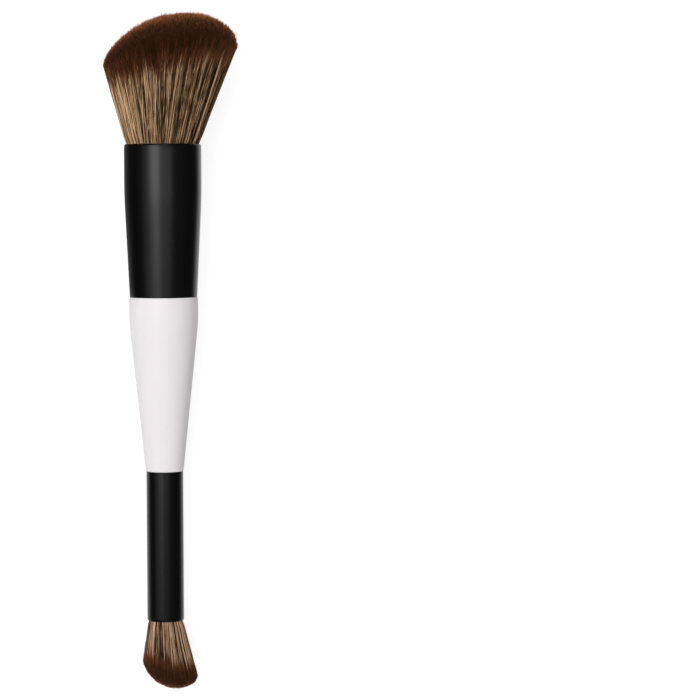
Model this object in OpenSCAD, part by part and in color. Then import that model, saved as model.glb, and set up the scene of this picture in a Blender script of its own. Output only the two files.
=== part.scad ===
// Double ended makeup brush: a white turned handle between two black aluminium ferrules,
// with a wide angled bristle tuft at one end and a small angled one at the other.
// It lies on a table as it comes to rest, on the bellies of its two tufts.
// Seen from above with the large tuft up, the long side of each tuft is on the right.

/* [Handle] */
// Length of the white handle between its two shoulders
handle_len = 45.5; // [36:0.5:70]
// How far the edges of the handle stand proud of the ferrules, on the radius
handle_proud = 0.1; // [0.05:0.01:0.2]
// Distance from the large shoulder back to the fullest place of the handle
handle_full_at = 3.5; // [2:0.1:6]
// Radius of the lengthwise barrel curve at the fullest place
handle_barrel_r = 56; // [40:1:120]
// Rounding of the edges of both shoulders
shoulder_round = 0.3; // [0.15:0.01:0.4]

/* [Large ferrule] */
// Length from mouth to handle
large_ferrule_len = 39.8; // [37:0.2:60]
// Diameter of the straight part
large_ferrule_d = 20.1; // [19.4:0.1:21]
// Diameter at the handle
large_seam_d = 17.56; // [16.8:0.02:18]
// Length of the straight part below the mouth
large_straight_len = 13.4; // [9:0.2:16]
// Radius of the lengthwise blend from the straight part into the taper
large_blend_r = 150; // [60:5:200]
// How much the mouth is swaged inwards, on the radius
large_mouth_in = 0.1; // [0.02:0.01:0.25]
// Length that is swaged at the mouth
large_mouth_len = 1.6; // [0.6:0.1:3]
// Sheet thickness
large_wall = 0.45; // [0.3:0.01:0.6]

/* [Small ferrule] */
// Length from handle to mouth
small_ferrule_len = 39.2; // [36:0.2:60]
// Outside diameter
small_ferrule_d = 9.62; // [9:0.02:10.4]
// How much the mouth is swaged inwards, on the radius
small_mouth_in = 0.12; // [0.02:0.01:0.25]
// Length that is swaged at the mouth
small_mouth_len = 0.7; // [0.4:0.1:1.5]
// Sheet thickness
small_wall = 0.3; // [0.2:0.01:0.4]

/* [Large tuft] */
// Height of the side outline above the mouth on the short side
large_short_h = 19.2; // [17:0.1:24]
// Height of the side outline above the mouth on the long side
large_long_h = 25.35; // [22:0.05:30]
// Rise of the domed cut above that slanting outline
large_dome_h = 11.5; // [8:0.05:13]
// How much the dome leans towards the long side
large_dome_skew = 1.2; // [0.2:0.1:2]
// Share of the dome's rise that the edges of the two broad faces keep
large_face_share = 0.45; // [0.3:0.05:0.8]
// Outward lean of the bristles on the short side, in degrees
large_short_lean = 16.3; // [12:0.1:20]
// Outward lean of the bristles on the long side, in degrees
large_long_lean = 21.3; // [17:0.1:25]
// Outward lean of the bristles on the two broad faces, in degrees
large_face_lean = 7.5; // [6.5:0.1:10]
// How much the bristles puff out as they leave the mouth, on the radius
large_puff = 0.2; // [0.05:0.05:0.4]
// Number of locks that the bristles gather into round the outside
large_locks = 40; // [30:1:44]
// Depth of the grooves between the locks
large_lock_depth = 0.42; // [0.2:0.02:0.6]
// How far the table presses the belly flat
large_press = 0.6; // [0.4:0.05:0.9]

/* [Small tuft] */
// Height of the side outline above the mouth on the short side
small_short_h = 10.3; // [8:0.1:12]
// Height of the side outline above the mouth on the long side
small_long_h = 14.4; // [12:0.1:17]
// Rise of the domed cut above that slanting outline
small_dome_h = 5.45; // [3.5:0.05:7]
// How much the dome leans towards the long side, or towards the short side below zero
small_dome_skew = -0.3; // [-1:0.1:1]
// Share of the dome's rise that the edges of the two broad faces keep
small_face_share = 0.6; // [0.4:0.05:0.9]
// Outward lean of the bristles on the short side, in degrees
small_short_lean = 8.1; // [6:0.1:12]
// Outward lean of the bristles on the long side, in degrees
small_long_lean = 15; // [11:0.1:18]
// Outward lean of the bristles on the two broad faces, in degrees
small_face_lean = 5.5; // [4:0.1:8]
// How much the bristles puff out as they leave the mouth, on the radius
small_puff = 0.28; // [0.05:0.01:0.4]
// Number of locks that the bristles gather into round the outside
small_locks = 22; // [16:1:26]
// Depth of the grooves between the locks
small_lock_depth = 0.28; // [0.12:0.02:0.4]
// How far the table presses the belly flat
small_press = 0.35; // [0.2:0.05:0.6]

/* [Both mouths] */
// Length over which the bristles puff out past the mouths
puff_len = 1.2; // [0.6:0.1:2.4]

/* [Inside the ferrules] */
// Depth of the large tuft's root below the mouth
large_root_depth = 14; // [11:0.5:16]
// Depth of the small tuft's root below the mouth
small_root_depth = 10; // [8.5:0.5:13]
// Thickness of the resin plug behind each root
plug_len = 3; // [2:0.1:4]
// Length over which a root widens from its tied waist
root_ease = 1.5; // [0.8:0.1:2.5]
// Thickness of the binding thread
thread_d = 0.5; // [0.4:0.02:0.6]
// Number of turns of thread round each root
thread_turns = 6; // [4:1:8]
// Space left between the large resin plug and the tenon's end
large_hollow = 5.8; // [3:0.2:9]
// Space left between the small resin plug and the tenon's end
small_hollow = 7.2; // [3:0.2:12]
// Number of glue grooves round each tenon
glue_grooves = 3; // [2:1:4]
// Width of a glue groove along the tenon
glue_groove_w = 1.4; // [0.8:0.1:2]
// Depth of a glue groove
glue_groove_depth = 0.4; // [0.2:0.05:0.6]
// Chamfer on the end of each tenon
tenon_chamfer = 0.6; // [0.3:0.1:1]

/* [Fits] */
// Thickness of the glue where a tenon is nearest to the bore of its ferrule
glue_film = 0.2; // [0.12:0.01:0.3]
// Distance from each shoulder to where the glue starts
glue_start = 1; // [0.5:0.1:2]
// Gap round cured glue and resin
bond_gap = 0.02; // [0.01:0.005:0.04]
// Gap between a tuft's root and the bore, and on both sides of the thread
root_gap = 0.08; // [0.04:0.01:0.12]

/* [Hidden] */
$fn = 96;

// Stations along the brush's axis, which runs from the small shoulder towards the large tuft
large_mouth_x = handle_len + large_ferrule_len;
small_mouth_x = -small_ferrule_len;

// Radii that follow from the diameters
large_r = large_ferrule_d / 2;
large_seam_r = large_seam_d / 2;
small_r = small_ferrule_d / 2;
small_bore_r = small_r - small_wall;
large_tenon_r = large_seam_r - large_wall - glue_film;
small_tenon_r = small_bore_r - glue_film;

// Each tenon reaches down its ferrule to the space left behind the resin plug
large_tenon_len = large_ferrule_len - large_root_depth - plug_len - large_hollow;
small_tenon_len = small_ferrule_len - small_root_depth - plug_len - small_hollow;

// Steps in the arcs of the turned profiles
blend_steps = 12;
barrel_steps = 20;
round_steps = 5;
swage_steps = 4;
glue_steps = 4;

// Rings and samples of the tufts' surfaces
samples_per_lock = 4;
side_rings = 8;
side_bunching = 1.3;
dome_rings = 8;
// Power that shapes the dome's outline between a triangle at 1 and a half ellipse at 0.5
dome_power = 0.75;
// Power that rolls the dome over towards the broad faces, from evenly at 1 to mostly near them
face_power = 1.6;
// Smallest share of the dome's width, which keeps its ends from a division by zero
least_w = 0.000001;
// Locks differ in width by this share of their pitch, and in depth and length by these shares
lock_width_spread = 0.4;
lock_depth_least = 0.45;
lock_tip_spread = 0.7;
lock_tip_least = -0.4;
// Share of the height over which the grooves deepen, and how fast they fade over the dome
groove_starts_by = 0.3;
groove_fade = 4;
large_seed = 11;
small_seed = 23;
// Share of the thread's thickness that is filled between its turns
thread_web = 0.65;

// Large ferrule: its taper is a straight line from the end of the straight part to the seam
taper_angle = atan((large_r - large_seam_r) / (large_ferrule_len - large_straight_len));
blend_half = large_blend_r * tan(taper_angle / 2);
blend_from = large_straight_len - blend_half;
blend_to = large_straight_len + blend_half;

// How much a mouth is swaged inwards at a distance d from it
function swage(d, inward, len) = d < len ? inward * pow(1 - d / len, 2) : 0;

// Outside radius of each ferrule at a distance d from its mouth
function large_outer_r(d) =
    d <= blend_from ? large_r - swage(d, large_mouth_in, large_mouth_len)
    : d < blend_to ? large_r - large_blend_r + sqrt(pow(large_blend_r, 2) - pow(d - blend_from, 2))
    : large_r - (d - large_straight_len) * tan(taper_angle);

function small_outer_r(d) = small_r - swage(d, small_mouth_in, small_mouth_len);

function large_bore_at(d) = large_outer_r(d) - large_wall;

function small_bore_at(d) = small_outer_r(d) - small_wall;

large_stations = concat(
    [for (i = [0 : swage_steps]) large_mouth_len * i / swage_steps],
    [for (i = [0 : blend_steps]) blend_from + (blend_to - blend_from) * i / blend_steps],
    [large_ferrule_len]
);
small_stations = concat(
    [for (i = [0 : swage_steps]) small_mouth_len * i / swage_steps],
    [small_ferrule_len]
);

// Handle: a straight taper from the small shoulder that runs into the barrel curve
small_shoulder_r = small_r + handle_proud;
large_shoulder_r = large_seam_r + handle_proud;
barrel_end = asin(handle_full_at / handle_barrel_r);
barrel_x = handle_len - handle_full_at;
barrel_y = large_shoulder_r - handle_barrel_r * cos(barrel_end);
barrel_dist = norm([barrel_x, barrel_y - small_shoulder_r]);
handle_slope = atan2(barrel_y - small_shoulder_r, barrel_x) + asin(handle_barrel_r / barrel_dist);

// The brush lies with each belly pressed a little, and its axis dips towards the small end
large_root_r = large_bore_at(0) - root_gap;
small_root_r = small_bore_at(0) - root_gap;
large_belly_h = (large_short_h + large_long_h) / 2 + large_face_share * large_dome_h;
small_belly_h = (small_short_h + small_long_h) / 2 + small_face_share * small_dome_h;
large_belly_x = large_mouth_x + large_belly_h;
small_belly_x = small_mouth_x - small_belly_h;
large_belly_rise = large_root_r + large_puff + large_belly_h * tan(large_face_lean) - large_press;
small_belly_rise = small_root_r + small_puff + small_belly_h * tan(small_face_lean) - small_press;
dip = asin((large_belly_rise - small_belly_rise) / (large_belly_x - small_belly_x));

// The origin is on the large belly's flat spot, which reaches mostly back towards the ferrule
flat_spot_reach = large_press / (tan(large_face_lean) - tan(dip));
origin_back_share = 1 / 3;
origin_x = large_belly_x - flat_spot_reach * origin_back_share;
origin_rise = large_belly_rise - (large_belly_x - origin_x) * sin(dip);
whole_len = large_belly_x - small_belly_x + large_dome_h + small_dome_h;

// Things drawn upright along the brush's axis, turned to lie along it
module along_axis() {
    rotate([0, 90, 0]) children();
}

// The brush's axis, laid over the table
module at_rest() {
    translate([0, 0, origin_rise])
        rotate([0, -dip, 0])
            translate([-origin_x, 0, 0]) children();
}

// What is left of a soft shape above the table
module above_table() {
    intersection() {
        at_rest() children();
        translate([-whole_len, -whole_len, 0]) cube([2 * whole_len, 2 * whole_len, whole_len]);
    }
}

// Height of a bristle's tip above the mouth, for its place u, v in a disc of radius one.
// cut holds the height on the short side and on the long side, the rise of the dome, its lean
// towards the long side, and the share of the rise that the edges of the broad faces keep.
function tip_h(u, v, cut) =
    let (w = max(1 - u * u, least_w))
    (cut[0] + cut[1]) / 2 + (cut[1] - cut[0]) / 2 * u + cut[3] * u * w
    + cut[2] * pow(w, dome_power) * (1 - (1 - cut[4]) * pow(v * v / w, face_power));

function puff_at(h, puff) = puff * (1 - pow(1 - min(1, h / puff_len), 2));

// A point at height h on the bristle that has its place at u, v
function on_bristle(u, v, h, r, puff, leans) =
    let (
        long_t = tan(leans[1]),
        short_t = tan(leans[0]),
        root = r + puff_at(h, puff),
        across = (long_t - short_t) / 2 + (long_t + short_t) / 2 * u
    )
    [h, -(root * u + across * h), v * (root + tan(leans[2]) * h)];

// Rings of a tuft's root as [depth, radius]: a tied waist at its end and the full width above it
function root_rings(depth, bore_r, mouth_r) =
    let (waist_len = thread_turns * thread_d + 2 * root_gap, waist_r = bore_r - thread_d - 2 * root_gap)
    [[depth, waist_r], [depth - waist_len, waist_r],
     [depth - waist_len - root_ease, mouth_r], [0, mouth_r]];

large_root = root_rings(large_root_depth, large_bore_at(large_root_depth), large_root_r);
small_root = root_rings(small_root_depth, small_bore_at(small_root_depth), small_root_r);

// One closed tuft: its root in the ferrule, fluted sides made of locks, and a slanting domed cut.
// way is 1 where the tuft points along the axis and -1 where it points back. leans holds the
// bristles' lean on the short side, on the long side and on the two broad faces.
module tuft(mouth_x, way, root, r, puff, leans, cut, locks, lock_depth, seed) {
    widths = rands(0, lock_width_spread, locks, seed);
    depths = rands(lock_depth_least, 1, locks, seed + 1);
    tips = rands(lock_tip_least, 1, locks, seed + 2);
    edges = [for (k = [0 : locks]) (k + widths[k % locks]) * 360 / locks];
    around = locks * samples_per_lock;
    lock = [for (i = [0 : around - 1]) floor(i / samples_per_lock)];
    share = [for (i = [0 : around - 1]) (i % samples_per_lock) / samples_per_lock];
    turn = [for (i = [0 : around - 1]) edges[lock[i]] + (edges[lock[i] + 1] - edges[lock[i]]) * share[i]];
    crown = [for (i = [0 : around - 1]) sin(180 * share[i])];
    groove = [for (i = [0 : around - 1]) lock_depth * depths[lock[i]] * (1 - crown[i])];
    tip_out = [for (i = [0 : around - 1]) lock_tip_spread * lock_depth * tips[lock[i]] * crown[i]];

    // A bristle's place is drawn in by the depth of the groove that it lies in
    function drawn_in(u, v, h, depth) =
        let (inward = 1 - depth / (r + h * tan(leans[2])))
        on_bristle(u * inward, v * inward, h, r, puff, leans);

    function side_point(i, part) =
        let (
            u = cos(turn[i]),
            v = sin(turn[i]),
            h = part * (tip_h(u, v, cut) + tip_out[i])
        )
        drawn_in(u, v, h, groove[i] * min(1, part / groove_starts_by));

    function dome_point(i, rho) =
        let (
            u = rho * cos(turn[i]),
            v = rho * sin(turn[i]),
            h = tip_h(u, v, cut) + tip_out[i] * pow(rho, groove_fade)
        )
        drawn_in(u, v, h, groove[i] * pow(rho, groove_fade));

    from_mouth = concat(
        [for (ring = root, i = [0 : around - 1])
            [-ring[0], -ring[1] * cos(turn[i]), ring[1] * sin(turn[i])]],
        [for (k = [1 : side_rings], i = [0 : around - 1])
            side_point(i, pow(k / side_rings, side_bunching))],
        [for (k = [1 : dome_rings - 1], i = [0 : around - 1])
            dome_point(i, cos(90 * k / dome_rings))],
        [drawn_in(0, 0, tip_h(0, 0, cut), 0)]
    );
    rings = len(root) + side_rings + dome_rings - 1;

    function next(i) = (i + 1) % around;

    bands = [for (a = [0 : around : (rings - 2) * around], i = [0 : around - 1], half = [0, 1])
        let (b = a + around)
        half == 0 ? [a + i, a + next(i), b + next(i)] : [a + i, b + next(i), b + i]];
    root_end = [for (i = [around - 1 : -1 : 0]) i];
    crown_faces = [for (i = [0 : around - 1])
        [(rings - 1) * around + i, (rings - 1) * around + next(i), rings * around]];
    faces = concat([root_end], bands, crown_faces);
    flipped = [for (f = faces) [for (j = [len(f) - 1 : -1 : 0]) f[j]]];

    polyhedron(
        [for (p = from_mouth) [mouth_x + way * p[0], p[1], p[2]]],
        way > 0 ? faces : flipped,
        convexity = 6
    );
}

module large_tuft() {
    color("#7a5236")
        above_table()
            tuft(
                mouth_x = large_mouth_x, way = 1, root = large_root, r = large_root_r,
                puff = large_puff, leans = [large_short_lean, large_long_lean, large_face_lean],
                cut = [large_short_h, large_long_h, large_dome_h, large_dome_skew, large_face_share],
                locks = large_locks, lock_depth = large_lock_depth, seed = large_seed
            );
}

module small_tuft() {
    color("#7a5236")
        above_table()
            tuft(
                mouth_x = small_mouth_x, way = -1, root = small_root, r = small_root_r,
                puff = small_puff, leans = [small_short_lean, small_long_lean, small_face_lean],
                cut = [small_short_h, small_long_h, small_dome_h, small_dome_skew, small_face_share],
                locks = small_locks, lock_depth = small_lock_depth, seed = small_seed
            );
}

// A winding of thread round a root's waist: turns side by side, filled a little between them
module binding(waist_r) {
    inner_r = waist_r + root_gap;
    rotate_extrude() {
        for (turn = [0 : thread_turns - 1])
            translate([inner_r + thread_d / 2, root_gap + thread_d * (turn + 0.5)])
                circle(d = thread_d, $fn = 24);
        translate([inner_r, root_gap + thread_d / 2])
            square([thread_d * thread_web, thread_d * (thread_turns - 1)]);
    }
}

module large_tuft_binding() {
    color("ivory")
        at_rest()
            translate([large_mouth_x - large_root_depth, 0, 0])
                along_axis() binding(large_root[0][1]);
}

module small_tuft_binding() {
    color("ivory")
        at_rest()
            translate([small_mouth_x + small_root_depth, 0, 0])
                mirror([1, 0, 0]) along_axis() binding(small_root[0][1]);
}

// Resin poured behind each root: a disc that follows the bore
module large_resin_plug() {
    front = large_root_depth;
    back = large_root_depth + plug_len;
    color("goldenrod")
        at_rest()
            along_axis() rotate_extrude()
                polygon(concat(
                    [[0, large_mouth_x - front]],
                    [for (i = [0 : glue_steps])
                        let (d = front + (back - front) * i / glue_steps)
                        [large_bore_at(d) - bond_gap, large_mouth_x - d]],
                    [[0, large_mouth_x - back]]
                ));
}

module small_resin_plug() {
    color("goldenrod")
        at_rest()
            translate([small_mouth_x + small_root_depth, 0, 0])
                along_axis() cylinder(h = plug_len, r = small_bore_r - bond_gap);
}

// Ferrules: seamless drawn tubes with an even wall
module large_ferrule() {
    color("#1a1a1b")
        at_rest()
            along_axis() rotate_extrude()
                polygon(concat(
                    [for (d = large_stations) [large_outer_r(d), large_mouth_x - d]],
                    [for (i = [len(large_stations) - 1 : -1 : 0])
                        [large_bore_at(large_stations[i]), large_mouth_x - large_stations[i]]]
                ));
}

module small_ferrule() {
    color("#1a1a1b")
        at_rest()
            along_axis() rotate_extrude()
                polygon(concat(
                    [for (d = small_stations) [small_outer_r(d), small_mouth_x + d]],
                    [for (i = [len(small_stations) - 1 : -1 : 0])
                        [small_bore_at(small_stations[i]), small_mouth_x + small_stations[i]]]
                ));
}

// Outline of a tenon as [radius, distance from the shoulder], grown all round by some amount
function tenon_outline(r, len, grown) =
    let (pitch = (len - glue_start - tenon_chamfer) / (glue_grooves + 1), half_w = glue_groove_w / 2 - grown)
    concat(
        [[r + grown, 0]],
        [for (k = [1 : glue_grooves], corner = [[-1, 0], [-1, 1], [1, 1], [1, 0]])
            [r + grown - corner[1] * glue_groove_depth, glue_start + pitch * k + corner[0] * half_w]],
        [[r + grown, len - tenon_chamfer], [r - tenon_chamfer + grown, len]]
    );

large_tenon = tenon_outline(large_tenon_r, large_tenon_len, 0);
small_tenon = tenon_outline(small_tenon_r, small_tenon_len, 0);

// Rounded edge of a shoulder of radius r at x, for a side that widens by slope away from it.
// It runs outwards from the flat face, and way is 1 or -1 where the side goes up or down from x.
function rounded_edge(x, r, way, slope) =
    let (turned = 90 - slope, face_r = r - shoulder_round * tan(turned / 2))
    [for (i = [0 : round_steps])
        let (a = turned * i / round_steps)
        [face_r + shoulder_round * sin(a), x + way * shoulder_round * (1 - cos(a))]];

module handle() {
    small_edge = rounded_edge(0, small_shoulder_r, 1, handle_slope);
    large_edge = rounded_edge(handle_len, large_shoulder_r, -1, barrel_end);
    color("#efedee")
        at_rest()
            along_axis() rotate_extrude()
                polygon(concat(
                    [[0, -small_tenon_len]],
                    [for (i = [len(small_tenon) - 1 : -1 : 0]) [small_tenon[i][0], -small_tenon[i][1]]],
                    small_edge,
                    [for (i = [0 : barrel_steps - 1])
                        let (a = handle_slope - (handle_slope + barrel_end) * i / barrel_steps)
                        [barrel_y + handle_barrel_r * cos(a), barrel_x - handle_barrel_r * sin(a)]],
                    [for (i = [round_steps : -1 : 0]) large_edge[i]],
                    [for (p = large_tenon) [p[0], handle_len + p[1]]],
                    [[0, handle_len + large_tenon_len]]
                ));
}

// Cured glue round a tenon: it fills the grooves and reaches out to the bore. The bore is a list
// of [radius, distance from the shoulder].
module tenon_glue(r, len, bore) {
    rotate_extrude()
        difference() {
            polygon(concat([[0, glue_start]], bore, [[0, len - tenon_chamfer]]));
            polygon(concat([[0, 0]], tenon_outline(r, len, bond_gap), [[0, len]]));
        }
}

module large_tenon_glue() {
    end = large_tenon_len - tenon_chamfer;
    color("khaki")
        at_rest()
            translate([handle_len, 0, 0])
                along_axis()
                    tenon_glue(
                        large_tenon_r, large_tenon_len,
                        [for (i = [0 : glue_steps])
                            let (x = glue_start + (end - glue_start) * i / glue_steps)
                            [large_bore_at(large_ferrule_len - x) - bond_gap, x]]
                    );
}

module small_tenon_glue() {
    end = small_tenon_len - tenon_chamfer;
    color("khaki")
        at_rest()
            mirror([1, 0, 0])
                along_axis()
                    tenon_glue(
                        small_tenon_r, small_tenon_len,
                        [for (x = [glue_start, end]) [small_bore_r - bond_gap, x]]
                    );
}

large_tuft();
large_tuft_binding();
large_resin_plug();
large_ferrule();
large_tenon_glue();
handle();
small_tenon_glue();
small_ferrule();
small_resin_plug();
small_tuft_binding();
small_tuft();
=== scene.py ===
import math

import bmesh
import bpy
from mathutils import Matrix, Vector


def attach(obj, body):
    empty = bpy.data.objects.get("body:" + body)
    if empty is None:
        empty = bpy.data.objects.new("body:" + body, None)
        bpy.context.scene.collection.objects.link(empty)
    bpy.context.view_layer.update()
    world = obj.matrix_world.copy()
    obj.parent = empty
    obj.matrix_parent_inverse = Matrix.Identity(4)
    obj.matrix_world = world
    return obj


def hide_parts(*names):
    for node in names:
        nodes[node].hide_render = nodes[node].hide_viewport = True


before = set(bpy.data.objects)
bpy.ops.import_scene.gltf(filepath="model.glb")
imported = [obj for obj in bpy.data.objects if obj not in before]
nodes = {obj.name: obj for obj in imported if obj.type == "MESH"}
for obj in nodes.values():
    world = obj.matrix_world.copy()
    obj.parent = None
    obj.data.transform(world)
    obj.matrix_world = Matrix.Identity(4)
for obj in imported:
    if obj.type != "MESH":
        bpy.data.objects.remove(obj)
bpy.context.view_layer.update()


# Handle: one turned and white lacquered piece. A straight taper widens from the small shoulder
# into a barrel, and a grooved tenon at each end is glued into its ferrule.
MM = 0.001

# How the brush lies: its axis dips towards the small tuft. The x along the axis runs in
# millimetres from the small shoulder towards the large tuft.
LIE_TILT = math.radians(2.356444)
LIE_X = 110.540094
LIE_RISE = 12.542998

HANDLE_LEN = 45.5
SHOULDER_SMALL = 4.91
SHOULDER_LARGE = 8.88
SHOULDER_ROUND = 0.3
BARREL_RADIUS = 56
BARREL_FULL_AT = 3.5
TENON_SMALL = (4.31, 19)
TENON_LARGE = (8.13, 17)
TENON_CHAMFER = 0.6
GROOVES = 3
GROOVE_WIDTH = 1.4
GROOVE_DEPTH = 0.4
GROOVE_START = 1
AROUND = 176
SHOULDER_STEPS = 8
TAPER_STEPS = 12
BARREL_STEPS = 30
EDGE_SUPPORT = 0.06


def laid(x, y, z):
    """A place on the brush, given along its axis in millimetres, where it lies on the table."""
    along = x - LIE_X
    return (
        (along * math.cos(LIE_TILT) - z * math.sin(LIE_TILT)) * MM,
        y * MM,
        (along * math.sin(LIE_TILT) + z * math.cos(LIE_TILT) + LIE_RISE) * MM,
    )


def piece_of(name, bm):
    """The finished mesh as a piece of the brush, with its faces outwards."""
    bmesh.ops.recalc_face_normals(bm, faces=bm.faces)
    mesh = bpy.data.meshes.new(name)
    bm.to_mesh(mesh)
    bm.free()
    piece = bpy.data.objects.new(name, mesh)
    bpy.context.scene.collection.objects.link(piece)
    return piece


def turned(name, outline, closed):
    """A piece turned about the axis. Its outline runs as (x, radius), from pole to pole or round."""
    bm = bmesh.new()
    rings = []
    turn = [2 * math.pi * k / AROUND for k in range(AROUND)]
    for x, r in outline:
        if r == 0:
            rings.append([bm.verts.new(laid(x, 0, 0))] * AROUND)
            continue
        rings.append([bm.verts.new(laid(x, r * math.cos(a), r * math.sin(a))) for a in turn])
    pairs = list(zip(rings, rings[1:]))
    if closed:
        pairs.append((rings[-1], rings[0]))
    for one, other in pairs:
        for k in range(AROUND):
            n = (k + 1) % AROUND
            corners = list(dict.fromkeys((one[k], one[n], other[n], other[k])))
            bm.faces.new(corners).smooth = True
    return piece_of(name, bm)


def stretch(start, end, steps):
    """Places from start to end, close together near both, so that a shine runs evenly to an edge."""
    lean = math.copysign(min(EDGE_SUPPORT, abs(end - start) / 4), end - start)
    inner = [start + lean + (end - start - 2 * lean) * k / steps for k in range(steps + 1)]
    return [start, *inner, end]


def tenon(radius, length):
    """A tenon's outline as (distance from the shoulder, radius), with its glue grooves."""
    pitch = (length - GROOVE_START - TENON_CHAMFER) / (GROOVES + 1)
    line = [(0, radius)]
    for k in range(1, GROOVES + 1):
        centre = GROOVE_START + pitch * k
        near, far = centre - GROOVE_WIDTH / 2, centre + GROOVE_WIDTH / 2
        line += [(near, radius), (near, radius - GROOVE_DEPTH)]
        line += [(far, radius - GROOVE_DEPTH), (far, radius)]
    return line + [(length - TENON_CHAMFER, radius), (length, radius - TENON_CHAMFER), (length, 0)]


barrel_end = math.asin(BARREL_FULL_AT / BARREL_RADIUS)
barrel_x = HANDLE_LEN - BARREL_FULL_AT
barrel_y = SHOULDER_LARGE - BARREL_RADIUS * math.cos(barrel_end)
handle_slope = math.atan2(barrel_y - SHOULDER_SMALL, barrel_x) + math.asin(
    BARREL_RADIUS / math.hypot(barrel_x, barrel_y - SHOULDER_SMALL)
)


def rounded_shoulder(x, radius, way, slope):
    """The rounded edge of a shoulder, from its flat face outwards, as (x, radius)."""
    turned_by = math.pi / 2 - slope
    face = radius - SHOULDER_ROUND * math.tan(turned_by / 2)
    arc = [turned_by * k / SHOULDER_STEPS for k in range(SHOULDER_STEPS + 1)]
    return [
        (x + way * SHOULDER_ROUND * (1 - math.cos(a)), face + SHOULDER_ROUND * math.sin(a))
        for a in arc
    ]


small_edge = rounded_shoulder(0, SHOULDER_SMALL, 1, handle_slope)
large_edge = rounded_shoulder(HANDLE_LEN, SHOULDER_LARGE, -1, barrel_end)
barrel_turn = handle_slope + barrel_end
barrel = [
    (barrel_x - BARREL_RADIUS * math.sin(a), barrel_y + BARREL_RADIUS * math.cos(a))
    for a in [handle_slope - barrel_turn * k / BARREL_STEPS for k in range(BARREL_STEPS)]
]
(taper_x, taper_radius), (barrel_from_x, barrel_from_radius) = small_edge[-1], barrel[0]
taper_slope = (barrel_from_radius - taper_radius) / (barrel_from_x - taper_x)
taper = [
    (x, taper_radius + taper_slope * (x - taper_x))
    for x in stretch(taper_x, barrel_from_x, TAPER_STEPS)[1:-1]
]
shoulder_faces = [
    [(0, r) for r in stretch(TENON_SMALL[0], small_edge[0][1], 2)[1:-1]],
    [(HANDLE_LEN, r) for r in stretch(large_edge[0][1], TENON_LARGE[0], 2)[1:-1]],
]
outline = [(-d, r) for d, r in reversed(tenon(*TENON_SMALL))] + shoulder_faces[0]
outline += small_edge + taper + barrel + large_edge[::-1] + shoulder_faces[1]
outline += [(HANDLE_LEN + d, r) for d, r in tenon(*TENON_LARGE)]
handle = turned("handle_turned", outline, closed=False)


def group_sockets(tree, ins, outs):
    """Named inputs, each with its value, and named outputs of a node group."""
    for name, value in ins.items():
        socket = tree.interface.new_socket(name, in_out="INPUT", socket_type="NodeSocketFloat")
        socket.default_value = value
    for name in outs:
        tree.interface.new_socket(name, in_out="OUTPUT", socket_type="NodeSocketFloat")
    return tree.nodes.new("NodeGroupInput"), tree.nodes.new("NodeGroupOutput")


# A lacquer or an anodised coat is never quite even: its gloss varies in soft patches, and it has
# a very fine orange peel.
coat_unevenness = bpy.data.node_groups.new("coat_unevenness", "ShaderNodeTree")
given, made = group_sockets(
    coat_unevenness,
    {"Gloss": 0.4, "Spread": 0.05, "Patch size": 0.02, "Peel size": 0.0008},
    ("Roughness", "Peel"),
)
place = coat_unevenness.nodes.new("ShaderNodeTexCoord")
for size, output in (("Patch size", "Roughness"), ("Peel size", "Peel")):
    scale = coat_unevenness.nodes.new("ShaderNodeMath")
    scale.operation = "DIVIDE"
    scale.inputs[0].default_value = 1
    noise = coat_unevenness.nodes.new("ShaderNodeTexNoise")
    noise.inputs["Detail"].default_value = 3
    coat_unevenness.links.new(given.outputs[size], scale.inputs[1])
    coat_unevenness.links.new(place.outputs["Object"], noise.inputs["Vector"])
    coat_unevenness.links.new(scale.outputs[0], noise.inputs["Scale"])
    if output == "Peel":
        coat_unevenness.links.new(noise.outputs["Fac"], made.inputs[output])
        continue
    centred = coat_unevenness.nodes.new("ShaderNodeMath")
    centred.operation = "SUBTRACT"
    centred.inputs[1].default_value = 0.5
    varied = coat_unevenness.nodes.new("ShaderNodeMath")
    varied.operation = "MULTIPLY_ADD"
    coat_unevenness.links.new(noise.outputs["Fac"], centred.inputs[0])
    coat_unevenness.links.new(centred.outputs[0], varied.inputs[0])
    coat_unevenness.links.new(given.outputs["Spread"], varied.inputs[1])
    coat_unevenness.links.new(given.outputs["Gloss"], varied.inputs[2])
    coat_unevenness.links.new(varied.outputs[0], made.inputs[output])


def finish_of(name, **values):
    """A new material and its Principled shader, with these plain values set on the shader."""
    material = bpy.data.materials.new(name)
    material.use_nodes = True
    shader = material.node_tree.nodes["Principled BSDF"]
    for socket, value in values.items():
        shader.inputs[socket.replace("_", " ")].default_value = value
    return material, shader


def tinted(tree, shader, colours, factor):
    """Lets a surface's colour drift between two by this factor."""
    tint = tree.nodes.new("ShaderNodeMix")
    tint.data_type = "RGBA"
    tint.inputs["A"].default_value = (*colours[0], 1)
    tint.inputs["B"].default_value = (*colours[1], 1)
    tree.links.new(factor, tint.inputs["Factor"])
    tree.links.new(tint.outputs["Result"], shader.inputs["Base Color"])


PEEL_HEIGHT = 0.01 * MM


def coated(material, shader, colours, bump, **amounts):
    """Gives a coat its two close colours and its unevenness."""
    tree = material.node_tree
    coat = tree.nodes.new("ShaderNodeGroup")
    coat.node_tree = coat_unevenness
    for socket, value in amounts.items():
        coat.inputs[socket.replace("_", " ")].default_value = value
    tinted(tree, shader, colours, coat.outputs["Peel"])
    lump = tree.nodes.new("ShaderNodeBump")
    lump.inputs["Strength"].default_value = bump
    lump.inputs["Distance"].default_value = PEEL_HEIGHT
    tree.links.new(coat.outputs["Peel"], lump.inputs["Height"])
    tree.links.new(coat.outputs["Roughness"], shader.inputs["Roughness"])
    tree.links.new(lump.outputs["Normal"], shader.inputs["Normal"])


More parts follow.
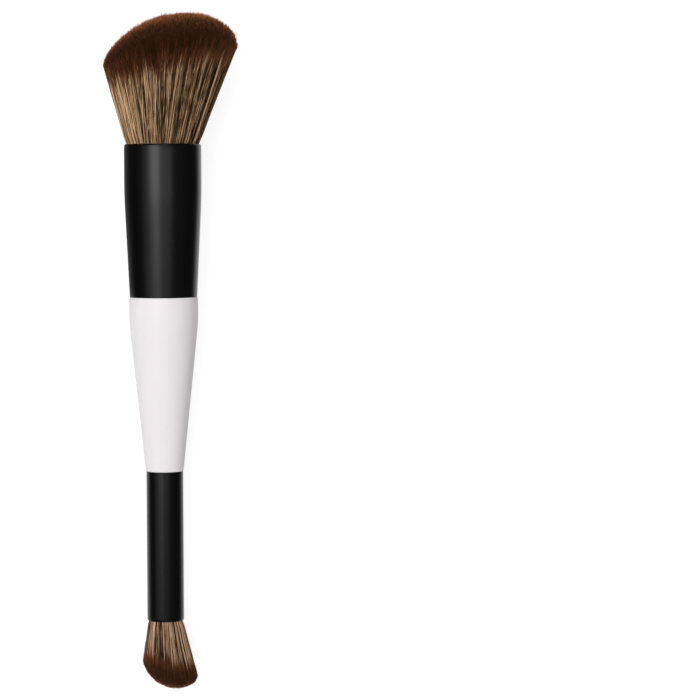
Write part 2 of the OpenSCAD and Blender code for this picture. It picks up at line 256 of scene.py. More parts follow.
LACQUER_WHITES = ((0.81, 0.775, 0.790), (0.84, 0.804, 0.819))

white_lacquer, shader = finish_of("white_lacquer", Specular_IOR_Level=0.3, Diffuse_Roughness=0.6)
coated(
    white_lacquer, shader, LACQUER_WHITES, bump=0.5,
    Gloss=0.42, Spread=0.08, Patch_size=0.012, Peel_size=0.0006,
)
handle.data.materials.append(white_lacquer)
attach(handle, "root")
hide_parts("handle")


# Ferrules: seamless tubes drawn from aluminium sheet, turned in a little at the mouth, and
# anodised black. The large one tapers from its straight part to the handle.
LARGE_MOUTH_X = 85.3
SMALL_MOUTH_X = -39.2
LARGE_LEN = 39.8
SMALL_LEN = 39.2
LARGE_RADIUS = 10.05
LARGE_SEAM_RADIUS = 8.78
SMALL_RADIUS = 4.81
LARGE_STRAIGHT = 13.4
BLEND_RADIUS = 150
LARGE_WALL = 0.45
SMALL_WALL = 0.3
LARGE_SWAGE = (0.1, 1.6)
SMALL_SWAGE = (0.12, 0.7)
LARGE_RIM_ROUND = 0.16
SMALL_RIM_ROUND = 0.11
CORNER_STEPS = 6
SWAGE_STEPS = 6
TUBE_STEPS = 40
ANODISED_BLACKS = ((0.015, 0.015, 0.015), (0.019, 0.019, 0.019))

taper_angle = math.atan((LARGE_RADIUS - LARGE_SEAM_RADIUS) / (LARGE_LEN - LARGE_STRAIGHT))
blend_half = BLEND_RADIUS * math.tan(taper_angle / 2)


def swaged(d, inward, length):
    """How far a mouth is turned in at a distance d from it."""
    return inward * (1 - d / length) ** 2 if d < length else 0


def large_radius(d):
    """Outside radius of the large ferrule at a distance d from its mouth."""
    if d <= LARGE_STRAIGHT - blend_half:
        return LARGE_RADIUS - swaged(d, *LARGE_SWAGE)
    if d < LARGE_STRAIGHT + blend_half:
        into = d - LARGE_STRAIGHT + blend_half
        return LARGE_RADIUS - BLEND_RADIUS + math.sqrt(BLEND_RADIUS ** 2 - into ** 2)
    return LARGE_RADIUS - (d - LARGE_STRAIGHT) * math.tan(taper_angle)


def small_radius(d):
    """Outside radius of the small ferrule at a distance d from its mouth."""
    return SMALL_RADIUS - swaged(d, *SMALL_SWAGE)


def corner(d, radius, d_way, r_way, size):
    """A rounded corner from a side to an end face, as (distance from the mouth, radius)."""
    arc = [math.pi / 2 * k / CORNER_STEPS for k in range(CORNER_STEPS + 1)]
    return [
        (d + d_way * size * (1 - math.sin(a)), radius + r_way * size * (1 - math.cos(a)))
        for a in arc
    ]


def tube(length, radius_at, wall, swage_len, rim):
    """Outline of a drawn tube, closed round its wall, as (distance from the mouth, radius)."""
    fine = [rim + (swage_len - rim) * k / SWAGE_STEPS for k in range(SWAGE_STEPS + 1)]
    places = fine + stretch(swage_len, length - rim, TUBE_STEPS)[1:]
    outside = [(d, radius_at(d)) for d in places]
    inside = [(d, r - wall) for d, r in outside]
    mouth_out = corner(0, radius_at(0), 1, -1, rim)
    mouth_in = corner(0, radius_at(0) - wall, 1, 1, rim)
    end_out = corner(length, radius_at(length), -1, -1, rim / 2)
    end_in = corner(length, radius_at(length) - wall, -1, 1, rim / 2)
    mouth = mouth_in[::-1][:-1] + mouth_out[::-1]
    return mouth + outside + end_out + end_in[::-1] + inside[::-1]


def ferrule(name, x_at, outline):
    """A ferrule with its mouth at x_at(0)."""
    return turned(name, [(x_at(d), r) for d, r in outline], closed=True)


large_outline = tube(LARGE_LEN, large_radius, LARGE_WALL, LARGE_SWAGE[1], LARGE_RIM_ROUND)
small_outline = tube(SMALL_LEN, small_radius, SMALL_WALL, SMALL_SWAGE[1], SMALL_RIM_ROUND)
large_ferrule = ferrule("large_ferrule_drawn", lambda d: LARGE_MOUTH_X - d, large_outline)
small_ferrule = ferrule("small_ferrule_drawn", lambda d: SMALL_MOUTH_X + d, small_outline)

black_anodised, shader = finish_of("black_anodised", Metallic=1.0)
coated(
    black_anodised, shader, ANODISED_BLACKS, bump=0.35,
    Gloss=0.29, Spread=0.05, Patch_size=0.006, Peel_size=0.0004,
)
for piece, node in ((large_ferrule, "large_ferrule"), (small_ferrule, "small_ferrule")):
    piece.data.materials.append(black_anodised)
    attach(piece, "root")
    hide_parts(node)


# What holds it together inside the ferrules: twisted polyester thread bound round each root,
# poured amber resin behind it, and pale epoxy cured round each tenon. Their shapes stay as the
# frame has them.
THREAD_COLOURS = ((0.62, 0.56, 0.44), (0.80, 0.76, 0.66))
RESIN_COLOURS = ((0.42, 0.20, 0.05), (0.58, 0.31, 0.09))
GLUE_COLOURS = ((0.60, 0.55, 0.36), (0.72, 0.68, 0.50))


def clouded(name, colours, size, **values):
    """A material whose colour drifts between two in soft clouds of this size in metres."""
    material, shader = finish_of(name, **values)
    tree = material.node_tree
    place = tree.nodes.new("ShaderNodeTexCoord")
    noise = tree.nodes.new("ShaderNodeTexNoise")
    noise.inputs["Scale"].default_value = 1 / size
    noise.inputs["Detail"].default_value = 4
    tree.links.new(place.outputs["Object"], noise.inputs["Vector"])
    tinted(tree, shader, colours, noise.outputs["Fac"])
    return material


insides = {
    "thread": clouded("twisted_thread", THREAD_COLOURS, 0.0003, Roughness=0.75),
    "resin": clouded("amber_resin", RESIN_COLOURS, 0.004, Roughness=0.2),
    "glue": clouded("pale_epoxy", GLUE_COLOURS, 0.003, Roughness=0.35),
}
for ending, kind in (("tuft_binding", "thread"), ("resin_plug", "resin"), ("tenon_glue", "glue")):
    for end in ("large", "small"):
        for finish in nodes[f"{end}_{ending}"].material_slots:
            finish.material = insides[kind]


# Tufts: tapered synthetic bristles, khaki with tips dyed espresso and auburn, cut to a slanting
# dome and set in resin. They fan out from the mouth and gather into fine locks on the way.
# u is a bristle's place across the tuft, towards its long side, and v its place towards a broad face.
LARGE = {
    "Mouth": LARGE_MOUTH_X, "Way": 1.0, "Root radius": 9.42, "Puff": 0.2,
    "Short edge": 19.2, "Long edge": 25.35, "Dome": 11.5, "Skew": 1.2, "Face share": 0.45,
    "Soft corner": -1.0, "Corner lift": 1.15, "Corner tuck": 0.024,
    "Short slope": math.tan(math.radians(16.3)), "Long slope": math.tan(math.radians(21.3)),
    "Face slope": math.tan(math.radians(7.5)),
}
SMALL = {
    "Mouth": SMALL_MOUTH_X, "Way": -1.0, "Root radius": 4.31, "Puff": 0.28,
    "Short edge": 10.3, "Long edge": 14.4, "Dome": 5.45, "Skew": -0.3, "Face share": 0.6,
    "Soft corner": 1.0, "Corner lift": 0.35, "Corner tuck": 0.04,
    "Short slope": math.tan(math.radians(8.1)), "Long slope": math.tan(math.radians(15)),
    "Face slope": math.tan(math.radians(5.5)),
}
PUFF_LEN = 1.2
DOME_POWER = 0.75
FACE_POWER = 1.6
TABLE_GAP = 0.08


class Figure:
    """A number that a tree of nodes works out, so that a formula reads as it is written."""

    def __init__(self, tree, socket):
        self.tree, self.socket = tree, socket

    def step(self, operation, *terms):
        node = self.tree.nodes.new("ShaderNodeMath")
        node.operation = operation
        for socket, term in zip(node.inputs, terms):
            if isinstance(term, Figure):
                self.tree.links.new(term.socket, socket)
            else:
                socket.default_value = term
        return Figure(self.tree, node.outputs[0])

    def __add__(self, other):
        return self.step("ADD", self, other)

    def __sub__(self, other):
        return self.step("SUBTRACT", self, other)

    def __rsub__(self, other):
        return self.step("SUBTRACT", other, self)

    def __mul__(self, other):
        return self.step("MULTIPLY", self, other)

    def __truediv__(self, other):
        return self.step("DIVIDE", self, other)

    def __pow__(self, other):
        return self.step("POWER", self, other)

    __radd__ = __add__
    __rmul__ = __mul__


def lesser(a, b):
    """The lesser of two, of which the first may be a figure."""
    return a.step("MINIMUM", a, b) if isinstance(a, Figure) else min(a, b)


def greater(a, b):
    """The greater of two, of which the first may be a figure."""
    return a.step("MAXIMUM", a, b) if isinstance(a, Figure) else max(a, b)


def at_soft_corner(u, cut):
    """1 at the corner of the cut that is rounder than the other, and soon 0 away from it."""
    return u ** 6 * (1 + cut["Soft corner"] * u) * 0.5


def tip_height(u, v, cut):
    """Height of a bristle's tip above the mouth."""
    width = 1 - u * u
    slant = (cut["Long edge"] - cut["Short edge"]) / 2
    edge = (cut["Short edge"] + cut["Long edge"]) / 2 + slant * u
    rise = 1 - (1 - cut["Face share"]) * (v * v / width) ** FACE_POWER
    edge = edge + cut["Corner lift"] * at_soft_corner(u, cut)
    return edge + cut["Skew"] * u * width + cut["Dome"] * width ** DOME_POWER * rise


def on_bristle(u, v, h, tuft):
    """Where the bristle at u, v is at height h, laid on the table."""
    swelling = tuft["Puff"] * (1 - (1 - greater(lesser(h / PUFF_LEN, 1), 0)) ** 2)
    root = tuft["Root radius"] + swelling
    fan = (tuft["Long slope"] + tuft["Short slope"]) / 2
    across = (tuft["Long slope"] - tuft["Short slope"]) / 2 + fan * u
    facing = v * (root + tuft["Face slope"] * h)
    return laid(tuft["Mouth"] + tuft["Way"] * h, -1 * (root * u + across * h), facing)


# The dark inside of each tuft, which shows between the locks: a closed form a little within them, whose
# darkness is painted shade.
# A root's outline runs as (depth below the mouth, radius).
LARGE_ROOT = [(14, 8.94), (10.84, 8.94), (9.34, 9.42), (0, 9.42)]
SMALL_ROOT = [(10, 3.85), (6.84, 3.85), (5.34, 4.31), (0, 4.31)]
PAST_THE_DYE = 30
HEART_SHARE = 0.9
HEART_BELOW_CUT = 1.3
HEART_GAP = 0.35
HEART_AROUND = 96
HEART_RINGS = 14


def heart(name, tuft, root):
    """The inside of a tuft, from its root in the ferrule to just under the cut."""
    bm = bmesh.new()
    tip_layer = bm.verts.layers.float.new("from_tip")
    turn = [2 * math.pi * k / HEART_AROUND for k in range(HEART_AROUND)]

    def vertex(x, y, z, from_tip):
        made = bm.verts.new((x, y, max(z, HEART_GAP * MM)))
        made[tip_layer] = from_tip
        return made

    rings = []
    for depth, radius in root:
        at = tuft["Mouth"] - tuft["Way"] * depth
        reach = HEART_SHARE * radius
        rings.append([
            vertex(*laid(at, -reach * math.cos(a), reach * math.sin(a)), PAST_THE_DYE)
            for a in turn
        ])
    wall = [(k / HEART_RINGS, HEART_SHARE) for k in range(1, HEART_RINGS + 1)]
    rounding = [math.pi / 2 * k / HEART_RINGS for k in range(1, HEART_RINGS)]
    for part, share in wall + [(1, HEART_SHARE * math.cos(a)) for a in rounding]:
        ring = []
        for a in turn:
            u, v = share * math.cos(a), share * math.sin(a)
            top = tip_height(u, v, tuft) - HEART_BELOW_CUT
            from_tip = top * (1 - part) + HEART_BELOW_CUT
            ring.append(vertex(*on_bristle(u, v, top * part, tuft), from_tip))
        rings.append(ring)
    top = tip_height(0, 0, tuft) - HEART_BELOW_CUT
    crown = vertex(*on_bristle(0, 0, top, tuft), HEART_BELOW_CUT)
    for one, other in zip(rings, rings[1:]):
        for k in range(HEART_AROUND):
            n = (k + 1) % HEART_AROUND
            bm.faces.new((one[k], one[n], other[n], other[k])).smooth = True
    for k in range(HEART_AROUND):
        bm.faces.new((rings[-1][k], rings[-1][(k + 1) % HEART_AROUND], crown)).smooth = True
    bm.faces.new(rings[0])
    return piece_of(name, bm)


large_heart = heart("large_tuft_heart", LARGE, LARGE_ROOT)
small_heart = heart("small_tuft_heart", SMALL, SMALL_ROOT)


def node_after(tree, kind, **links):
    """A new node, with each named input linked to a socket or a figure, or set to a value."""
    node = tree.nodes.new(kind)
    for name, term in links.items():
        socket = node.inputs[name.replace("_", " ")]
        if isinstance(term, Figure):
            tree.links.new(term.socket, socket)
        elif isinstance(term, bpy.types.NodeSocket):
            tree.links.new(term, socket)
        else:
            socket.default_value = term
    return node


# How bristles stand and keep together: lengths in millimetres, and the rest as shares. The trims
# are multiplied by a layer's tip spread.
GOLDEN_TURN = math.pi * (3 - math.sqrt(5))
TURN_SLACK = 0.03
WITHIN_RIM = 0.9995
TRIM_FROM = -1.6
TRIM_TO = -0.4
FLYAWAY = 1.3
WILD_REACH = 0.04
TIGHT_AT_MOUTH = 0.6
TIGHT_FROM = 6
TIP_FREEDOM = 0.8
DRIFT_GRAIN = 1.3
DRIFT_LEN = 7
DEPTH_KEPT = 0.88
TINY = 0.001
DYE_CREEP = 0.2
LYING_SPREAD = 0.2
TIP_TAPER = 0.5

layer = bpy.data.node_groups.new("layer_of_bristles", "GeometryNodeTree")
layer.interface.new_socket("Bristles", in_out="INPUT", socket_type="NodeSocketInt")
layer.interface.new_socket("Stations", in_out="INPUT", socket_type="NodeSocketInt")
layer.interface.new_socket("Seed", in_out="INPUT", socket_type="NodeSocketInt")
layer.interface.new_socket("Finish", in_out="INPUT", socket_type="NodeSocketMaterial")
LAYER_SIZES = (
    "Innermost", "Longest", "Thickness", "Locks", "Wisps", "Gather", "Bunch", "Sink",
    "Crossing", "Stray", "Tip spread", "Patchiness",
)
for name in LAYER_SIZES + tuple(LARGE):
    layer.interface.new_socket(name, in_out="INPUT", socket_type="NodeSocketFloat")
layer.interface.new_socket("Bristles", in_out="OUTPUT", socket_type="NodeSocketGeometry")
given = layer.nodes.new("NodeGroupInput")
size = {name: Figure(layer, given.outputs[name]) for name in LAYER_SIZES + tuple(LARGE)}


def chance(shift, low=0.0, high=1.0):
    """A random number for each bristle, from the layer's seed."""
    seed = Figure(layer, given.outputs["Seed"]) + shift
    node = node_after(layer, "FunctionNodeRandomValue", Seed=seed)
    node.inputs[2].default_value, node.inputs[3].default_value = low, high
    return Figure(layer, node.outputs[1])


def kept(geometry, name, figure):
    """Keeps a number with each bristle or each of its stations under this name."""
    node = node_after(layer, "GeometryNodeStoreNamedAttribute", Geometry=geometry, Name=name)
    node.domain = "POINT"
    layer.links.new(figure.socket, node.inputs["Value"])
    return node.outputs[0]


def recalled(name):
    """The number kept under this name."""
    return Figure(layer, node_after(layer, "GeometryNodeInputNamedAttribute", Name=name).outputs[0])


# Each bristle has a place in the root, in a spiral that fills the disc evenly, a little disturbed.
# Most tips end a little short of the cut, a few stand past it, and a few bristles stick out.
count = Figure(layer, given.outputs["Bristles"])
number = Figure(layer, layer.nodes.new("GeometryNodeInputIndex").outputs[0])
fill = (number + chance(1)) / count
radius = (size["Innermost"] ** 2 + (1 - size["Innermost"] ** 2) * fill) ** 0.5 * WITHIN_RIM
angle = number * GOLDEN_TURN + chance(2, -TURN_SLACK, TURN_SLACK)
geometry = node_after(layer, "GeometryNodePoints", Count=count).outputs[0]
geometry = kept(geometry, "u", radius * angle.step("COSINE", angle))
geometry = kept(geometry, "v", radius * angle.step("SINE", angle))
geometry = kept(geometry, "strand", chance(3))
geometry = kept(geometry, "trim", chance(4, TRIM_FROM, TRIM_TO) + chance(5) ** 9 * FLYAWAY)
geometry = kept(geometry, "wild", chance(6) ** 12)

# A straight line with a few stations is put at each place, and then bent to its bristle.
line = node_after(layer, "GeometryNodeCurvePrimitiveLine", End=(1, 0, 0)).outputs[0]
line = node_after(
    layer, "GeometryNodeResampleCurve", Curve=line, Count=given.outputs["Stations"]
).outputs[0]
geometry = node_after(layer, "GeometryNodeInstanceOnPoints", Points=geometry, Instance=line).outputs[0]
geometry = node_after(layer, "GeometryNodeRealizeInstances", Geometry=geometry).outputs[0]
spot = layer.nodes.new("GeometryNodeInputPosition").outputs[0]
spot = node_after(layer, "ShaderNodeSeparateXYZ", Vector=spot)
geometry = kept(geometry, "along", Figure(layer, spot.outputs["X"]))

u, v, strand, along = (recalled(name) for name in ("u", "v", "strand", "along"))
tip = tip_height(u, v, size) + recalled("trim") * size["Tip spread"]
start = greater(tip - size["Longest"], -0.5)
height = start + (tip - start) * along ** 1.5
part = greater(height / tip, 0)


def gathered(u, v, locks, amount):
    """Draws a bristle's place towards the middle of the lock that it belongs to."""
    spot = node_after(layer, "ShaderNodeCombineXYZ", X=u, Y=v).outputs[0]
    cells = layer.nodes.new("ShaderNodeTexVoronoi")
    cells.voronoi_dimensions = "2D"
    layer.links.new(spot, cells.inputs["Vector"])
    layer.links.new(locks.socket, cells.inputs["Scale"])
    middle = node_after(layer, "ShaderNodeSeparateXYZ", Vector=cells.outputs["Position"])
    colour = node_after(layer, "ShaderNodeSeparateXYZ", Vector=cells.outputs["Color"])
    u_to = u + (Figure(layer, middle.outputs["X"]) - u) * amount
    v_to = v + (Figure(layer, middle.outputs["Y"]) - v) * amount
    chances = [Figure(layer, colour.outputs[axis]) for axis in "XYZ"]
    return u_to, v_to, chances, Figure(layer, cells.outputs["Distance"])


def drift(u, v, along, shift):
    """A slow wander of about -1 to 1 that bristles close to each other share."""
    spot = node_after(layer, "ShaderNodeCombineXYZ", X=u + shift, Y=v, Z=along).outputs[0]
    noise = node_after(layer, "ShaderNodeTexNoise", Vector=spot, Scale=1.0, Detail=1.0).outputs[0]
    return (Figure(layer, noise) - 0.5) * 3


# Wisps of a few bristles gather first, and the wisps into locks. They stay at their depth in the
# tuft, keep together less towards the tips, and wander a little so that some cross.
tight = TIGHT_AT_MOUTH + (1 - TIGHT_AT_MOUTH) * lesser(greater(height / TIGHT_FROM, 0), 1)
held = tight * (1 - TIP_FREEDOM * part ** 3)
locks, wisps = size["Locks"], size["Locks"] * size["Wisps"]
u_wisp, v_wisp, (wisp, sunk, lean), brink = gathered(u, v, wisps, size["Gather"] * held)
u_lock, v_lock, (lock, _, slant), _ = gathered(u_wisp, v_wisp, locks, size["Bunch"] * held)
grain, length_grain = locks * DRIFT_GRAIN, height / DRIFT_LEN
sway = size["Stray"] * part ** 0.6
crossing = (lean - 0.5 + (slant - 0.5) * 0.3 + (strand - 0.5) * 0.2) * size["Crossing"] * part
u_lock = u_lock + crossing + drift(u * grain, v * grain, length_grain, 0) * sway
v_lock = v_lock + drift(u * grain, v * grain, length_grain, 50) * sway
depth_was = (u ** 2 + v ** 2) ** 0.5
depth_now = (u_lock ** 2 + v_lock ** 2) ** 0.5 + TINY
back_out = (1 + (depth_was / depth_now - 1) * DEPTH_KEPT) * (1 - sunk * held * size["Sink"])
back_out = back_out * (1 + recalled("wild") * WILD_REACH * part ** 2)
tucked = back_out * (1 - size["Corner tuck"] * at_soft_corner(u, size) * part ** 8)
x, y, z = on_bristle(u_lock * tucked, v_lock * back_out, height, size)
z = greater(z, (strand * LYING_SPREAD + TABLE_GAP) * MM)
geometry = kept(geometry, "from_tip", (tip - height) * (1 - DYE_CREEP * u ** 4))
geometry = kept(geometry, "fold", v ** 2 / (1 - u ** 2))
geometry = kept(geometry, "across", u)
geometry = kept(geometry, "lock", lock)
geometry = kept(geometry, "wisp", (wisp - 0.5) * size["Patchiness"] + 0.5)
geometry = kept(geometry, "sunk", (sunk - 0.5) * size["Patchiness"] + 0.5)
geometry = kept(geometry, "deep", 1 - depth_was)
geometry = kept(geometry, "brink", brink)
place = node_after(layer, "ShaderNodeCombineXYZ", X=x, Y=y, Z=z).outputs[0]
geometry = node_after(layer, "GeometryNodeSetPosition", Geometry=geometry, Position=place).outputs[0]
girth = size["Thickness"] * (0.5 * MM) * (1 - TIP_TAPER * part ** 4) * (0.8 + 0.4 * strand)
geometry = node_after(layer, "GeometryNodeSetCurveRadius", Curve=geometry, Radius=girth).outputs[0]
ring = node_after(layer, "GeometryNodeCurvePrimitiveCircle", Resolution=3, Radius=1.0).outputs[0]
geometry = node_after(
    layer, "GeometryNodeCurveToMesh", Curve=geometry, Profile_Curve=ring, Scale=girth, Fill_Caps=True
).outputs[0]
for name in ("u", "v", "trim", "wild", "along"):
    geometry = node_after(layer, "GeometryNodeRemoveAttribute", Geometry=geometry, Name=name).outputs[0]
geometry = node_after(layer, "GeometryNodeSetShadeSmooth", Geometry=geometry).outputs[0]
geometry = node_after(layer, "GeometryNodeRealizeInstances", Geometry=geometry).outputs[0]
geometry = node_after(
    layer, "GeometryNodeSetMaterial", Geometry=geometry, Material=given.outputs["Finish"]
).outputs[0]
layer.links.new(geometry, layer.nodes.new("NodeGroupOutput").inputs[0])


def bristles(name, tuft, finish, **sizes):
    """One layer of a tuft's bristles, as a plain mesh."""
    piece = bpy.data.objects.new(name, bpy.data.meshes.new(name))
    bpy.context.scene.collection.objects.link(piece)
    maker = piece.modifiers.new("bristles", "NODES")
    maker.node_group = layer
    values = {**tuft, **{key.replace("_", " "): value for key, value in sizes.items()}, "Finish": finish}
    for socket in layer.interface.items_tree:
        if socket.in_out == "INPUT":
            maker[socket.identifier] = values[socket.name]
    mesh = bpy.data.meshes.new_from_object(piece.evaluated_get(bpy.context.evaluated_depsgraph_get()))
    piece.modifiers.clear()
    piece.data = mesh
    mesh.name = name
    return piece


# The colours, how far the dye goes and how long the painted glints are: the two lengths in
# millimetres, and the fringe, the reach and the fade as shares of the dye's length.
UMBER = (0.022, 0.010, 0.0045)
OLIVE_KHAKI = (0.115, 0.066, 0.027)
ROSY_KHAKI = (0.205, 0.113, 0.056)
KHAKI = (0.320, 0.185, 0.088)
KHAKI_PALE = (0.760, 0.510, 0.300)
ESPRESSO = (0.038, 0.0116, 0.0043)
MAROON = (0.048, 0.0175, 0.0095)
RUSSET = (0.150, 0.050, 0.019)
CHESTNUT = (0.140, 0.050, 0.025)
AUBURN = (0.280, 0.100, 0.043)
AUBURN_TIP_AND_GLOW = (0.720, 0.255, 0.090)
DYE_LEN = 10
PAINTED_GLINT_LEN = 3.5
FRINGE = 0.16
DYE_REACH = 0.72
DYE_FADE = 0.3


def dyed(name, shade, gloss, darkest, cast, dye_scale, pale, fade, rust, at_edge, ragged):
    """Bristle material: pale, dyed dark from the tip over a length that each wisp varies, with painted
    light and shade.
    """
    material, shader = finish_of(
        name, Roughness=gloss, Specular_IOR_Level=0.12, Specular_Tint=(1.0, 0.66, 0.42, 1)
    )
    tree = material.node_tree

    def attribute(name):
        node = tree.nodes.new("ShaderNodeAttribute")
        node.attribute_name = name
        return Figure(tree, node.outputs["Fac"])

    def ramp(figure, stops, cast=(1.0, 1.0, 1.0)):
        node = tree.nodes.new("ShaderNodeValToRGB")
        tree.links.new(figure.socket, node.inputs["Fac"])
        while len(node.color_ramp.elements) < len(stops):
            node.color_ramp.elements.new(0.5)
        for element, (at, colour) in zip(node.color_ramp.elements, stops):
            element.position = at
            element.color = (*(channel * shade * share for channel, share in zip(colour, cast)), 1)
        return node.outputs["Color"]

    def mixed(factor, a, b):
        node = tree.nodes.new("ShaderNodeMix")
        node.data_type = "RGBA"
        for socket, term in (("Factor", factor.socket), ("A", a), ("B", b)):
            tree.links.new(term, node.inputs[socket])
        return node.outputs["Result"]

    strand, lock, wisp, sunk = (attribute(name) for name in ("strand", "lock", "wisp", "sunk"))
    across, from_tip = attribute("across"), attribute("from_tip")
    reach = from_tip / (DYE_LEN * dye_scale)

    # The tips are auburn along the middle of the cut, partly their dye and partly a painted glow of
    # light through the thin tips at the crest, and dark towards the broad faces.
    fold = attribute("fold") + (strand - 0.5) * 0.45 + greater(0 - across, 0) * 0.15
    fold = lesser(fold, 1)
    tip_tones = [(0.18, AUBURN_TIP_AND_GLOW), (0.38, AUBURN), (0.62, CHESTNUT), (1.0, darkest)]
    tips = ramp(greater(fold, 0), tip_tones)

    # Under them the dye is dark, and russet in some bristles and towards the sides, where it is partly a
    # painted glow of light through the thin bristles at the tuft's edges, a little more on the left.
    edge_russet_and_glow = across ** 8 * 0.25 + across ** 2 * 0.3
    edge_russet_and_glow = edge_russet_and_glow - lesser(greater(across + 0.2, -0.5), 0) * 0.1
    russet = edge_russet_and_glow + (sunk + strand) * 0.4 + lesser(greater(reach - 0.3, 0), 0.2) + rust
    dye_tones = [(0.0, darkest), (0.3, RUSSET), (0.6, AUBURN), (0.95, AUBURN_TIP_AND_GLOW)]
    dye = ramp(greater(russet, 0), dye_tones)
    tipped = mixed(lesser(reach / FRINGE, 1), tips, dye)

    # The undyed length has pale and dark streaks with a slow painted glint along them. Painted shade
    # darkens it between the wisps, deep in the tuft, in sunken wisps and towards one side, and
    # painted light lifts both sides a little.
    spot = node_after(
        tree, "ShaderNodeCombineXYZ", X=wisp * 40 + strand * 6, Y=from_tip / PAINTED_GLINT_LEN
    ).outputs[0]
    painted_glint = node_after(tree, "ShaderNodeTexNoise", Vector=spot, Scale=1.0, Detail=1.0).outputs[0]
    streak = wisp * 0.45 + strand * 0.3 + lock * 0.12 + (Figure(tree, painted_glint) - 0.5) * 0.9
    paleness = streak + pale - attribute("deep") * 2.6
    shadow = greater(sunk - 0.75, 0) + across * fade - across ** 2 * 0.1 + attribute("brink") * 1.25
    body_tones = [
        (0.25, UMBER), (0.37, OLIVE_KHAKI), (0.48, ROSY_KHAKI), (0.6, KHAKI), (0.82, KHAKI_PALE)
    ]
    body = ramp(paleness - shadow, body_tones, cast)

    # The dye ends softly, after a length that differs from wisp to wisp and towards the sides.
    uneven = ((wisp - 0.5) * 0.28 + (strand - 0.5) * 0.2 + (lock - 0.5) * 0.15) * ragged
    past_dye = reach + uneven - DYE_REACH + across ** 2 * 0.35 + across ** 8 * at_edge
    undyed = lesser(greater(past_dye / DYE_FADE, 0), 1)
    tree.links.new(mixed(undyed, tipped, body), shader.inputs["Base Color"])
    return material


LARGE_DYE = {
    "darkest": ESPRESSO, "cast": (1.0, 1.0, 1.0), "dye_scale": 1.0, "pale": 0.62,
    "fade": 0.22, "rust": -0.43, "at_edge": 0.18, "ragged": 1.0,
}
# Through its cast and paleness the small tuft's body is paler than the large one's: painted light, for
# the lamps reach it less.
SMALL_DYE = {
    "darkest": MAROON, "cast": (1.12, 1.12, 1.27), "dye_scale": 0.76, "pale": 0.70,
    "fade": -0.04, "rust": -0.5, "at_edge": -0.1, "ragged": 1.5,
}
large_bristle = dyed("dyed_bristle_large", shade=1.0, gloss=0.42, **LARGE_DYE)
small_bristle = dyed("dyed_bristle_small", shade=1.0, gloss=0.42, **SMALL_DYE)
# The same colours darkened to about a sixth, as painted shade for the inside of each tuft.
large_shade = dyed("shaded_bristle_large", shade=0.16, gloss=0.8, **LARGE_DYE)
small_shade = dyed("shaded_bristle_small", shade=0.16, gloss=0.8, **SMALL_DYE)
large_heart.data.materials.append(large_shade)
small_heart.data.materials.append(small_shade)

large_pieces = [large_heart] + [
    bristles(
        name, LARGE, large_bristle, Bristles=many, Stations=stations, Seed=seed, Innermost=inner,
        Longest=longest, Thickness=0.15, Locks=15.0, Wisps=2.9, Gather=0.78, Bunch=0.15, Sink=0.08,
        Crossing=0.23, Stray=0.05, Tip_spread=0.5, Patchiness=1.0,
    )
    for name, many, stations, seed, inner, longest in (
        ("large_bristles_outer", 6800, 5, 3, 0.86, 99),
        ("large_bristles_crown", 12500, 3, 40, 0.0, 6),
    )
]
small_pieces = [small_heart] + [
    bristles(
        name, SMALL, small_bristle, Bristles=many, Stations=stations, Seed=seed, Innermost=inner,
        Longest=longest, Thickness=0.13, Locks=4.0, Wisps=3.65, Gather=0.45, Bunch=0.1, Sink=0.08,
        Crossing=0.16, Stray=0.04, Tip_spread=0.14, Patchiness=0.6,
    )
    for name, many, stations, seed, inner, longest in (
        ("small_bristles_outer", 5200, 5, 71, 0.78, 99),
        ("small_bristles_crown", 4200, 3, 90, 0.0, 5),
    )
]
for pieces, node in ((large_pieces, "large_tuft"), (small_pieces, "small_tuft")):
    for piece in pieces:
        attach(piece, "root")
        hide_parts(node)


# The table: a plain pale sheet, which shows as white and keeps the soft shadow. Seen in the gloss
# of the brush alone, dark card lies along both sides, and beside the large end on the left.
TABLE_SIZE = 6.0
TABLE_X = -0.08
SHEET_GREY = 0.3
SHEET_GLOW = 0.83
LAMPS_REACH = 0.5
CARD_EDGE = 0.004
SIDE_CARD_Y = 0.026
SIDE_CARD_DARK = 0.9
NEAR_CARD_X = 0.012
NEAR_CARD_DARK = 0.8

bpy.ops.mesh.primitive_plane_add(size=TABLE_SIZE, location=(TABLE_X, 0, 0))
table = bpy.context.object
table.name = "table"
white_sheet = bpy.data.materials.new("white_sheet")
white_sheet.use_nodes = True
tree = white_sheet.node_tree
tree.nodes.clear()
rays = tree.nodes.new("ShaderNodeLightPath")
glossy = Figure(tree, rays.outputs["Is Glossy Ray"])
on_sheet = tree.nodes.new("ShaderNodeTexCoord").outputs["Object"]
place = node_after(tree, "ShaderNodeSeparateXYZ", Vector=on_sheet)
lengthways, sideways = Figure(tree, place.outputs["X"]), Figure(tree, place.outputs["Y"])
near_card = lesser(greater((lengthways - NEAR_CARD_X) / CARD_EDGE, 0), 1)
near_card = near_card * lesser(greater(sideways / CARD_EDGE, 0), 1)
side_card = (sideways.step("ABSOLUTE", sideways) - SIDE_CARD_Y) / CARD_EDGE
side_card = lesser(greater(side_card, 0), 1)
uncovered = 1 - glossy * greater(near_card * NEAR_CARD_DARK, side_card * SIDE_CARD_DARK)
seen = Figure(tree, rays.outputs["Is Camera Ray"]) + glossy
seen = lesser(seen + Figure(tree, rays.outputs["Is Transmission Ray"]), 1)
grey = uncovered * SHEET_GREY
grey = node_after(tree, "ShaderNodeCombineXYZ", X=grey, Y=grey, Z=grey).outputs[0]
sheet = node_after(tree, "ShaderNodeBsdfDiffuse", Color=grey)

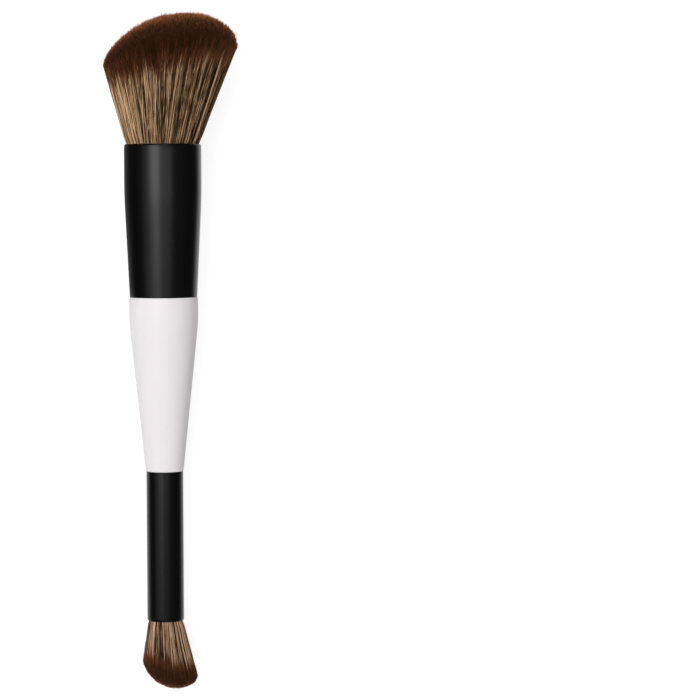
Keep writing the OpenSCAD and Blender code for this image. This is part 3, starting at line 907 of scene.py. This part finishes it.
# Far from the brush, where the lamps' light falls away, the sheet glows white by itself.
from_brush = (lengthways ** 2 + sideways ** 2) ** 0.5
past_lamps = lesser(greater(from_brush / LAMPS_REACH - 1, 0), 1)
strength = seen * uncovered * (SHEET_GLOW + past_lamps * (1 - SHEET_GLOW))
glow = node_after(tree, "ShaderNodeEmission", Color=(1, 1, 1, 1), Strength=strength)
both = tree.nodes.new("ShaderNodeAddShader")
tree.links.new(sheet.outputs[0], both.inputs[0])
tree.links.new(glow.outputs[0], both.inputs[1])
tree.links.new(both.outputs[0], tree.nodes.new("ShaderNodeOutputMaterial").inputs["Surface"])
table.data.materials.append(white_sheet)


# The light: soft boxes high on the left, lower on the left, above and high on the right, one ahead
# of each end of the brush, and a dim room that shows as white.
CENTRE = Vector((-0.08, 0, 0.01))
ROOM_LIGHT = 0.2


def soft_box(name, at, width, length, watts):
    """A soft box that faces the middle of the brush."""
    lamp = bpy.data.lights.new(name, "AREA")
    lamp.shape = "RECTANGLE"
    lamp.size, lamp.size_y, lamp.energy = width, length, watts
    box = bpy.data.objects.new(name, lamp)
    box.location = at
    box.rotation_euler = (CENTRE - Vector(at)).to_track_quat("-Z", "Y").to_euler()
    bpy.context.scene.collection.objects.link(box)


soft_box("soft_box_left", (0.0, 0.365, 0.80), 0.30, 0.45, 2.9)
soft_box("soft_box_low_left", (-0.08, 0.62, 0.62), 0.5, 0.55, 0.8)
soft_box("soft_box_above", (-0.08, 0.01, 0.90), 0.22, 0.9, 1.68)
soft_box("soft_box_right", (-0.08, -0.42, 0.78), 0.35, 1.2, 0.2)
soft_box("soft_box_ahead", (0.75, 0.02, 0.65), 0.5, 0.5, 2.6)
soft_box("soft_box_behind", (-0.95, 0.02, 0.65), 0.5, 0.5, 2.6)
room = bpy.data.worlds.new("room")
bpy.context.scene.world = room
room.use_nodes = True
tree = room.node_tree
shown = Figure(tree, tree.nodes.new("ShaderNodeLightPath").outputs["Is Camera Ray"])
shown = shown * (1 - ROOM_LIGHT) + ROOM_LIGHT
tree.links.new(shown.socket, tree.nodes["Background"].inputs["Strength"])
tree.nodes["Background"].inputs["Color"].default_value = (1, 1, 1, 1)


# The camera: above the brush, looking almost straight down, with the large tuft at the top and
# the brush left of the middle.
CAMERA_AT = Vector((-0.0715485, 0, 0.7652377))
CAMERA_AIM = Vector((-0.0790766, -0.0485213, 0.0118361))
CAMERA_UP = Vector((0.9999318, -0.0067157, -0.0095589))
CAMERA_LENS = 148.546

view = bpy.data.cameras.new("camera")
view.lens = CAMERA_LENS
back = (CAMERA_AT - CAMERA_AIM).normalized()
right = CAMERA_UP.cross(back).normalized()
camera = bpy.data.objects.new("camera", view)
turn = Matrix((right, back.cross(right), back)).transposed().to_4x4()
camera.matrix_world = Matrix.Translation(CAMERA_AT) @ turn
bpy.context.scene.collection.objects.link(camera)
bpy.context.scene.camera = camera
bpy.context.scene.view_settings.view_transform = "Standard"
